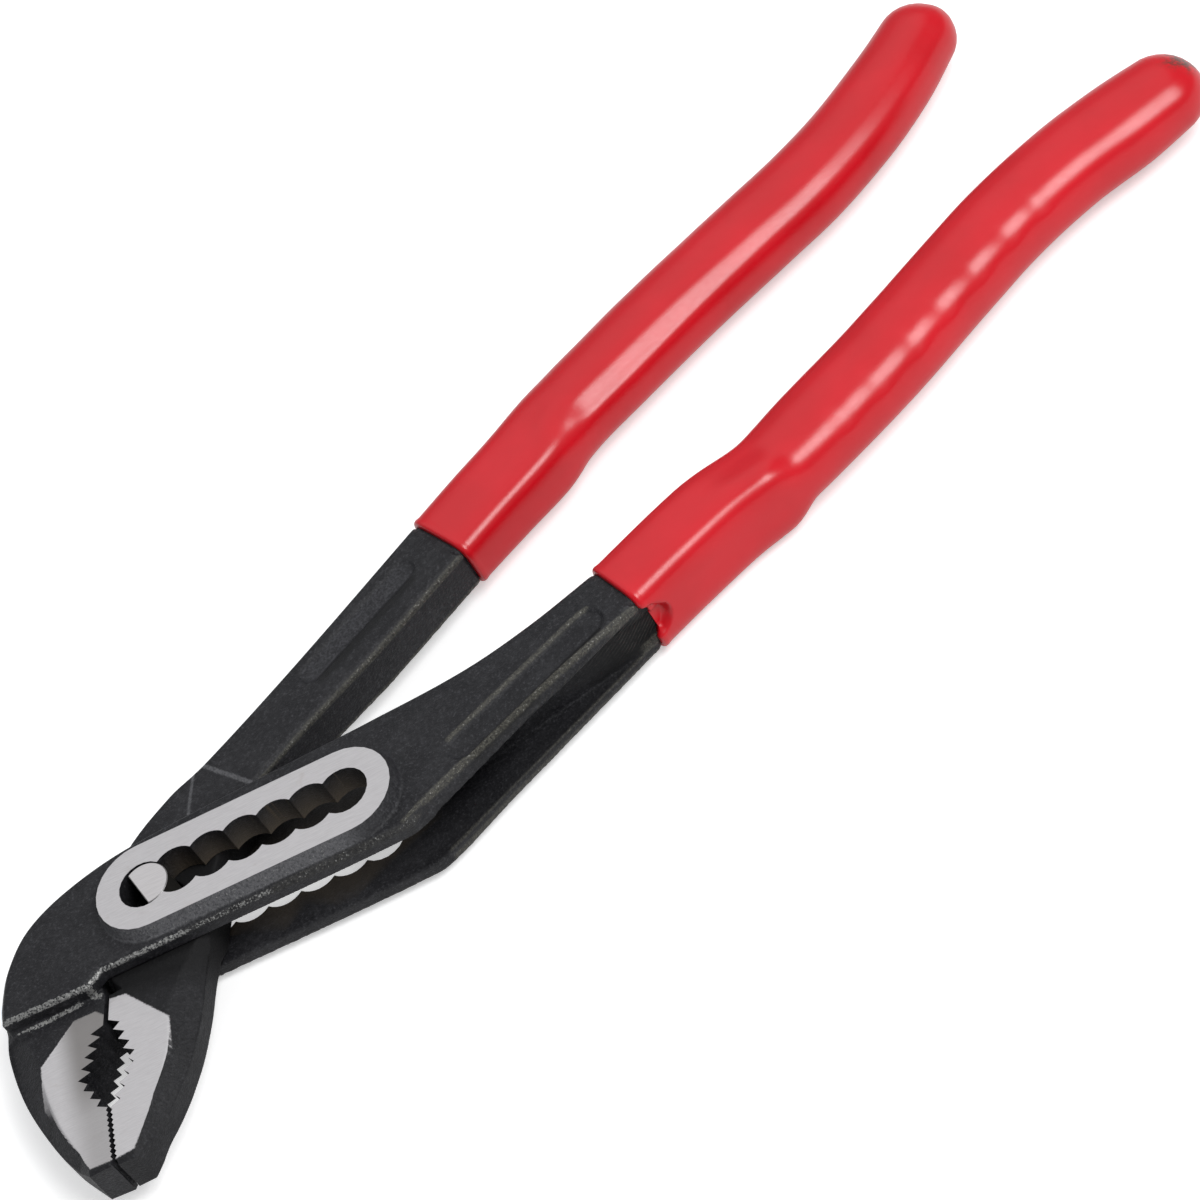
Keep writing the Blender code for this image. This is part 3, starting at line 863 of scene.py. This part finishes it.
def lever(node_name, name, steel, cuts, share, shape, masks):
    """A forging: a finer copy of the CAD node, cut, softened and roughened."""
    made = copy_of(node_name, name)
    for rings in cuts:
        carve(made, rings)
    remesh(made)
    soften(made, share(slot_mm(places(made))))
    move(made, row_frame(shape(slot_mm(places(made)), normals(made))))
    thin_out(made)
    move(made, places(made))
    one_skin(made)
    for key, values in masks(slot_mm(places(made))).items():
        attribute(made, key, values)
    smooth(made)
    made.data.set_sharp_from_angle(angle=SHARP)
    flats = made.modifiers.new("flats", "WEIGHTED_NORMAL")
    flats.keep_sharp = True
    apply_modifiers(made)
    made.data.materials.clear()
    made.data.materials.append(steel)
    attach(made, node_name)
    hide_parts(node_name)


def handle_face(place):
    """Height of the outer handle's face along its lower edge."""
    return CHEEK_H - HANDLE_FALL * np.clip(place / HANDLE_RUN, 0, 1)


def draft_rings():
    """What is cut away over the drafted wall."""
    rings = []
    for place, into in DRAFT:
        face = handle_face(place)
        rings.append(
            edge_points((
                (place, -into, face + DRAFT_LIFT),
                (place, CUT_REACH, face - DRAFT_SLOPE * (into + CUT_REACH)),
                (place, CUT_REACH, face + CUT_REACH),
                (place, -into, face + CUT_REACH),
            ))
        )
    return rings


def groove_rings():
    """What is cut away for the milled groove."""
    low, high = -GROOVE_H, GROOVE_H
    corners = ((-GROOVE_DEPTH, low), (CUT_REACH, low), (CUT_REACH, high), (-GROOVE_DEPTH, high))
    return [edge_points([(place, out, w) for out, w in corners]) for place in (0.0, GROOVE_END)]


def jaw_and_edges(mm, normal, jaw, flat, rows, seed):
    """Points with the fall of a jaw's sides outside its flat, and how far rough edges stand out."""
    facing = np.sign(mm[:, 2]) * ease(np.abs(normal[:, 2]), *FACING_UP)
    outside = np.maximum(0, -inside(mm, flat))
    moved = mm.copy()
    moved[:, 2] -= facing * (jaw * FLAT_FALL * (1 - np.exp(-((outside / FLAT_RUN) ** 2))))
    bare, dust = wear(mm, rows)
    rough = WEAR_RISE * np.maximum(bare, dust * DUST_RISE)
    rough *= WEAR_LIFT + grain(mm, WEAR_GRAIN, seed)
    return moved, rough


def outer_side_shade(mm):
    """1 on the groove and the walls beside it, which get painted shade."""
    place, out = along_edge(mm)
    return ease(place, *SIDE_PLACE) * ease(out, *SIDE_OUT) * (1 - ease(np.abs(mm[:, 2]), *SIDE_H))


def outer_share(mm):
    u, v, w = mm.T
    boss = ease(np.abs(w), *BOSS_CRISP)
    bite = ease(-v, *FIXED_BITE[0]) * ease(u, *FIXED_BITE[1])
    slot = ease(SLOT_HALF - np.abs(v), 0, SLOT_BLEND) * ease(u, *SLOT_START)
    slot *= ease(SLOT_END - u, 0, 1)
    return 1 - np.maximum.reduce((boss, bite, slot))


def outer_shape(mm, normal):
    jaw = ease(-mm[:, 1], *FIXED_JAW) * ease(JAW_H - np.abs(mm[:, 2]), 0, JAW_BLEND)
    moved, rough = jaw_and_edges(mm, normal, jaw, FIXED_FLAT, OUTER_WEAR, OUTER_ROUGH)
    boss = BOSS_RISE * boss_wall(mm) * grain(mm, BOSS_GRAIN, BOSS_ROUGH)
    rough += boss * (1 - np.abs(normal[:, 2]))
    return moved + rough[:, None] * slot_direction(normal)


def outer_masks(mm):
    u, v, w = mm.T
    bare, dust = wear(mm, OUTER_WEAR)
    # painted shade: the wall's bare and scoured share falls off towards its end
    wall = boss_wall(mm) * (1 - BOSS_END_SHADE * ease(u, *BOSS_END))
    in_slot = (1 - ease(near(mm, BOSS_LINE), *SLOT_RIM)) * (np.abs(w) < BOSS_H - SLOT_RIM_H)
    rusty = ease(u, *RUSTY_U)
    # painted shade on the outer panel's lower wall
    shade = 1 - ease(near(mm, OUTER_SHADE), *OUTER_SHADE_HALF)
    shade = OUTER_SHADE_DARK * shade * ease(np.abs(w), *OUTER_SHADE_H)
    place, out = along_edge(mm)
    milled = ease(place, *MILLED_PLACE) * ease(out, *MILLED_OUT)
    return {
        "ground": np.where(w > 0, w - BOSS_H, -REAR_BOSS_H - w) + BOSS_SKIN,
        "worn": np.maximum(bare, BOSS_BARE * wall),
        "dusty": dust,
        "scoured": wall,
        "milled": milled * ease(w, *MILLED_LOW) * (1 - ease(w, *MILLED_TOP)),
        "rusty": in_slot * rusty,
        # painted shade on the groove side, in the slot inside short of the rust, and on the outer
        # panel's lower wall
        "deep": np.maximum.reduce((outer_side_shade(mm), in_slot * (1 - rusty), shade)),
        # painted shade on the fixed jaw's flat
        "dim": np.where(v < FLAT_SHADE_BELOW, 1, 0),
    }


def inner_share(mm):
    return 1 - ease(-mm[:, 1], *MOVING_BITE[0]) * ease(-mm[:, 0], *MOVING_BITE[1])


def inner_shape(mm, normal):
    jaw = ease(-mm[:, 1], *MOVING_JAW)
    moved, rough = jaw_and_edges(mm, normal, jaw, MOVING_FLAT, INNER_WEAR, INNER_ROUGH)
    return moved + rough[:, None] * slot_direction(normal)


def inner_masks(mm):
    _, v, w = mm.T
    bare, dust = wear(mm, INNER_WEAR)
    # painted shadow on the tongue under the cheek, and painted shade on the moving jaw's side
    tongue = ease(v, *TONGUE_START) * ease(TONGUE_END - v, 0, TONGUE_BLEND)
    return {
        "ground": np.full(len(mm), NOT_GROUND),
        "worn": bare,
        "dusty": dust,
        "scoured": (1 - ease(near(mm, CREASE), *CREASE_HALF)) * ease(np.abs(w), *CREASE_H),
        # painted shadow on the tongue and painted shade on the moving jaw's side
        "deep": np.maximum(TONGUE_SHADE * tongue, JAW_SHADE * ease(-v, *JAW_SHADE_V)),
    }


# Grips


def along_rows(rows, t):
    """Row values at places counted in rows, on a curve through the rows."""
    rows = np.array(rows)
    i = np.minimum(t.astype(int), len(rows) - 2)
    f = (t - i)[:, None]
    a, b, c, d = (rows[np.clip(i + k, 0, len(rows) - 1)] for k in (-1, 0, 1, 2))
    return b + 0.5 * f * (c - a + f * (2 * a - 5 * b + 4 * c - d + f * (3 * (b - c) + d - a)))


def rings_across(rows, t, wide, high, power):
    """Rings across a grip, and how far each point is out from the middle line to the lower side."""
    ahead = along_rows(rows, np.minimum(t + ROW_STEP, len(rows) - 1))
    run = (ahead - along_rows(rows, np.maximum(t - ROW_STEP, 0)))[:, :2]
    run /= np.linalg.norm(run, axis=1)[:, None]
    sides = (np.abs(np.cos(GRIP_TURNS)) / wide) ** power
    tops = (np.abs(np.sin(GRIP_TURNS)) / high) ** power
    reach = (sides + tops) ** (-1 / power)
    out = reach * np.cos(GRIP_TURNS)
    middle = along_rows(rows, t)
    u = middle[:, :1] + run[:, 1:] * out
    v = middle[:, 1:2] - run[:, :1] * out
    return np.stack((u, v, reach * np.sin(GRIP_TURNS)), axis=2), out


def lofted(name, rings):
    """A closed body through rings, the first and last of them closed by fans."""
    count = rings.shape[1]
    points = np.concatenate((rings.reshape(-1, 3), rings[:1].mean(axis=1), rings[-1:].mean(axis=1)))
    last = len(rings) - 1
    faces = []
    for k in range(count):
        beside = (k + 1) % count
        for r in range(0, last * count, count):
            faces.append((r + k, r + beside, r + count + beside, r + count + k))
        faces.append((beside, k, len(points) - 2))
        faces.append((last * count + k, last * count + beside, len(points) - 1))
    made = mesh_object(name, row_frame(points), faces)
    face_outwards(made)
    return made


def to_front(normal):
    """How much each direction looks the way of the flat front."""
    return normal @ slot_direction(np.array((FRONT_FACING,)))[0]


def flatter(mm, normal, place, pocket, flat):
    """The flatter upper front of a grip."""
    most, start, fade, left = flat
    depth = most * (1 - (1 - left) * ease(place, *fade))
    facing = np.maximum(to_front(normal), LEAST_FACING)
    over = (FLAT_RADIUS - (FLAT_RADIUS - depth) / facing) / FLAT_BLEND
    over = np.clip(over, -MOST_POWER, MOST_POWER)
    cut = FLAT_BLEND * np.log1p(np.exp(over)) * ease(place, *start)
    return mm - np.where(pocket, 0, cut)[:, None] * normal


def outer_dip(mm, normal, place, out, pocket):
    """Dips across the front, the torn lip and its bubble."""
    front = ease(to_front(normal), *DIP_FACING)
    rise = np.zeros(len(mm))
    for k in range(DIP_COUNT):
        middle = DIP_FIRST + k * DIP_STEP + DIP_WANDER * grain(mm, DIP_GRAIN, DIP_PATH)
        deep = DIP_DEPTH * min(1.0, DIP_LEAST + DIP_GROWTH * k)
        rise -= front * deep * np.exp(-(((place - middle) / DIP_HALF) ** 2))
    at = np.column_stack((place, out, mm[:, 2]))
    from_bubble = np.linalg.norm(at - np.array(BUBBLE_AT), axis=1)
    rise += BUBBLE_RISE * (1 - ease(from_bubble, 0, BUBBLE_R))
    moved = flatter(mm, normal, place, pocket, OUTER_FLAT)
    moved += np.where(pocket, 0, rise)[:, None] * normal
    heading = np.array(OUTER_GRIP[1][:2]) - np.array(OUTER_GRIP[0][:2])
    heading /= np.linalg.norm(heading)
    reach = np.hypot(place / TEAR_LONG, (mm[:, 2] - TEAR_AT) / TEAR_HALF)
    torn = (1 - ease(reach, *TEAR_EDGE)) * (out > TEAR_SIDE)
    over_groove = 1 - ease(np.abs(mm[:, 2]), GROOVE_H - TEAR_STEP, GROOVE_H)
    film = np.where(pocket, TEAR_INSIDE, TEAR_STEEL - (TEAR_STEEL - TEAR_GROOVE) * over_groove)
    moved[:, :2] -= np.outer(torn * np.maximum(0, out - film), (heading[1], -heading[0]))
    moved[:, :2] += np.outer(torn * TEAR_BACK * (1 - ease(place, 0, TEAR_BACK_RUN)), heading)
    return moved


def inner_dip(mm, normal, place, _, pocket):
    return flatter(mm, normal, place, pocket, INNER_FLAT)


def pocket_rings(rows, steps, lengths):
    """Places of the rings of the pocket for the tang, the rings, and how far out they are."""
    end = np.interp(len(rows) - 1 - POCKET_SHORT, steps, lengths)
    near_mouth = np.arange(0, MOUTH_END, POCKET_STEP)
    further = np.linspace(MOUTH_END, end, POCKET_RINGS)
    place = np.concatenate((near_mouth, further))[::-1]
    t = np.interp(place, lengths, steps)
    _, _, wide, high, power = along_rows(rows, t).T[:, :, None]
    shrink = WALL + LIP_DRAW * (1 - ease(place, *LIP_REACH))[:, None]
    return place, *rings_across(rows, t, wide - shrink, high - shrink, power**POCKET_SHARP)


def skin_rings(rows, neck, steps, lengths):
    """Places of the rings of the outside, the rings, and how far out they are."""
    near_mouth = np.arange(SKIN_START, MOUTH_END, SKIN_STEP)
    further = np.linspace(MOUTH_END, lengths[-1], SKIN_RINGS)
    place = np.concatenate((LIP_AT[:-1], near_mouth, further))
    t = np.interp(place, lengths, steps)
    _, _, wide, high, _ = along_rows(rows, t).T[:, :, None]
    _, _, _, oval_high, oval_power = along_rows(rows, np.maximum(t, FIRST_ROUND_ROW)).T[:, :, None]
    lower = ease(np.cos(GRIP_TURNS), *LOWER_SIDE)
    below, above = (ease(place, *span)[:, None] for span in neck)
    turned = lower * below + (1 - lower) * above
    shrink = np.interp(place, LIP_AT, LIP_IN)[:, None]
    high = (1 - turned) * np.maximum(rows[0][3], high) + turned * oval_high
    power = (1 - turned) * MOUTH_POWER + turned * oval_power
    return place, *rings_across(rows, t, wide - shrink, high - shrink, power)


def dome_rings(rows, ring):
    """Rings of the domed end that follows this ring."""
    last = len(rows) - 1
    middle = ring.mean(axis=0)
    onward = along_rows(rows, np.array((last - ROW_STEP, float(last))))[:, :2]
    onward = np.append(onward[1] - onward[0], 0)
    onward /= np.linalg.norm(onward)
    turns = DOME_TURN * np.arange(1, DOME_STEPS + 1) / DOME_STEPS
    reach = rows[-1][2]
    return np.array([
        middle + onward * reach * math.sin(turn) + (ring - middle) * math.cos(turn)
        for turn in turns
    ])


def grip(node_name, body, vinyl_red, rows, neck, dip, seed):
    """A dipped sleeve with a rolled lip, a neck, a domed end and the pocket that the tang fills."""
    steps = np.linspace(0, len(rows) - 1, LENGTH_STEPS)
    lengths = np.linalg.norm(np.diff(along_rows(rows, steps)[:, :2], axis=0), axis=1)
    lengths = np.concatenate(((0.0,), np.cumsum(lengths)))
    inner_place, inner, inner_out = pocket_rings(rows, steps, lengths)
    skin_place, skin, skin_out = skin_rings(rows, neck, steps, lengths)
    made = lofted(node_name + "_dip", np.concatenate((inner, skin, dome_rings(rows, skin[-1]))))

    mm = slot_mm(places(made))
    normal = slot_direction(normals(made))
    end_place = np.full(DOME_STEPS, lengths[-1])
    place = np.repeat(np.concatenate((inner_place, skin_place, end_place)), GRIP_ROUND)
    place = np.append(place, (inner_place[0], lengths[-1]))
    end_out = np.zeros(DOME_STEPS * GRIP_ROUND + 2)
    out = np.concatenate((inner_out.ravel(), skin_out.ravel(), end_out))
    pocket = np.arange(len(mm)) < inner_out.size
    pocket[-2] = True
    wave = np.where(pocket, 0, WAVE_RISE * ease(place, *WAVE_START) * grain(mm, WAVE, seed))
    move(made, row_frame(dip(mm + wave[:, None] * normal, normal, place, out, pocket)))
    away = np.linalg.norm(mm - np.array(SCUFF_AT), axis=1)
    attribute(made, "scuffed", 1 - ease(away, SCUFF_R * SCUFF_CORE, SCUFF_R))
    smooth(made)
    made.data.materials.append(vinyl_red)
    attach(made, body)
    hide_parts(node_name)


lever(
    "outer_lever", "outer_forging", black_and_bare("forged_outer_steel", FIXED_FLAT),
    (draft_rings(), groove_rings()), outer_share, outer_shape, outer_masks,
)
lever(
    "inner_lever", "inner_forging", black_and_bare("forged_inner_steel", MOVING_FLAT, INNER_PANEL),
    (), inner_share, inner_shape, inner_masks,
)
red = vinyl()
grip("outer_grip", "outer_lever", red, OUTER_GRIP, OUTER_NECK, outer_dip, OUTER_COAT)
grip("inner_grip", "inner_lever", red, INNER_GRIP, INNER_NECK, inner_dip, INNER_COAT)
pin = frame["nodes"]["pivot_pin"]
pin.data.materials.clear()
pin.data.materials.append(bright())

# Stage: half the floor's width and how far it lies below the tool, and what it gives off to the
# camera and to reflections
FLOOR = 1.6
FLOOR_DROP = 0.0002
FLOOR_SEEN = 0.45
FLOOR_MIRRORED = 0.1

# The photograph's camera: the point it looks at, its distance, its angles in degrees, its lens and
# its sensor
AIM = Vector((-0.00425, -0.00634, PIVOT[2]))
DISTANCE = 0.65007
AZIMUTH = -110.953
ELEVATION = 45.697
ROLL = 34.060
LENS = 120.0
SENSOR = 36.0
CLIP_START = 0.01

SKY = (0.95, 0.97, 1.0, 1)
SKY_STRENGTH = 0.28


def stage_white():
    made, tree, shader = material("white_floor")
    cloud = noise(tree, tree.nodes.new("ShaderNodeTexCoord").outputs["Object"], *WHITE_CLOUD)
    put(tree, shader.inputs["Base Color"], mixed(tree, cloud, *WHITE))
    put(tree, shader.inputs["Roughness"], FLOOR_DULL)
    path = tree.nodes.new("ShaderNodeLightPath")
    seen = times(tree, path.outputs["Is Camera Ray"], FLOOR_SEEN)
    mirrored = times(tree, path.outputs["Is Glossy Ray"], FLOOR_MIRRORED)
    put(tree, shader.inputs["Emission Color"], (1, 1, 1, 1))
    put(tree, shader.inputs["Emission Strength"], maths(tree, "ADD", seen, mirrored))
    return made


def looking_back(azimuth, elevation, distance, aim):
    """The place of something that looks at a point, from a direction given in degrees."""
    a = math.radians(azimuth)
    e = math.radians(elevation)
    away = Vector((math.cos(e) * math.cos(a), math.cos(e) * math.sin(a), math.sin(e)))
    turned = away.to_track_quat("Z", "Y").to_matrix().to_4x4()
    return Matrix.Translation(aim + away * distance) @ turned


def lamp(name, azimuth, elevation, distance, size, power):
    """A soft lamp that looks at the tool."""
    data = bpy.data.lights.new(name, "AREA")
    data.shape = "RECTANGLE"
    data.size, data.size_y = size
    data.energy = power
    made = bpy.data.objects.new(name, data)
    bpy.context.scene.collection.objects.link(made)
    made.matrix_world = looking_back(azimuth, elevation, distance, Vector())


corners = ((-FLOOR, -FLOOR), (FLOOR, -FLOOR), (FLOOR, FLOOR), (-FLOOR, FLOOR))
floor = mesh_object("floor", [(x, y, -FLOOR_DROP) for x, y in corners], [(0, 1, 2, 3)])
floor.data.materials.append(stage_white())

camera = bpy.data.objects.new("camera", bpy.data.cameras.new("camera"))
bpy.context.scene.collection.objects.link(camera)
roll = Matrix.Rotation(math.radians(-ROLL), 4, "Z")
camera.matrix_world = looking_back(AZIMUTH, ELEVATION, DISTANCE, AIM) @ roll
camera.data.lens = LENS
camera.data.sensor_width = SENSOR
camera.data.clip_start = CLIP_START
bpy.context.scene.camera = camera

lamp("key", azimuth=-69.0, elevation=53.0, distance=1.1, size=(0.5, 0.5), power=9.6)
lamp("overhead", azimuth=69.0, elevation=62.0, distance=1.5, size=(2.2, 1.6), power=8.0)

world = bpy.data.worlds.new("studio")
bpy.context.scene.world = world
world.use_nodes = True
world.node_tree.nodes["Background"].inputs["Color"].default_value = SKY
world.node_tree.nodes["Background"].inputs["Strength"].default_value = SKY_STRENGTH

bpy.context.scene.view_settings.view_transform = "Standard"
